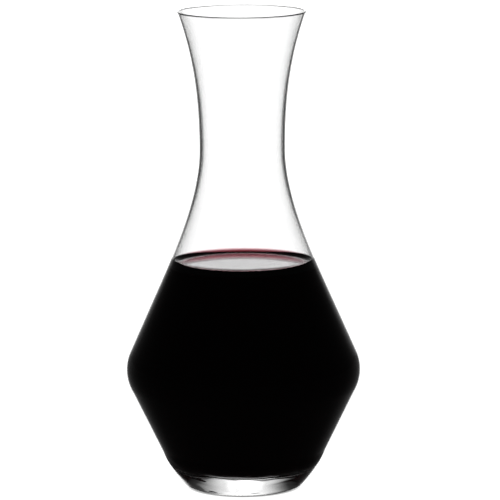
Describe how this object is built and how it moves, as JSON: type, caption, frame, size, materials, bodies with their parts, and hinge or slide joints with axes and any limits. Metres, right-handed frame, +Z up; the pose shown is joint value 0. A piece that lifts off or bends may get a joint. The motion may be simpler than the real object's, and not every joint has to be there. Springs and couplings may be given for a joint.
{
  "type": "wine decanter",
  "caption": "Clear crystal decanter with a flared neck and a double-cone bowl on a small thick foot, filled with red wine to the base of the neck.",
  "frame": {"origin": "centre of the plane that the foot rests on", "axes": "+Z up, along the axis of revolution, out of the mouth"},
  "size_m": [0.1184, 0.1184, 0.242],
  "materials": {
    "crystal_glass": "fire-polished, clear",
    "red_wine": "still liquid, glossy"
  },
  "bodies": {
    "vessel": {"glass_vessel": "crystal_glass"},
    "wine_body": {"wine": "red_wine"}
  },
  "joints": [
    {"name": "wine_swirl", "type": "hinge", "parent": "vessel", "child": "wine_body", "pos_m": [0, 0, 0.06], "axis": [0, 0, 1], "continuous": true}
  ]
}
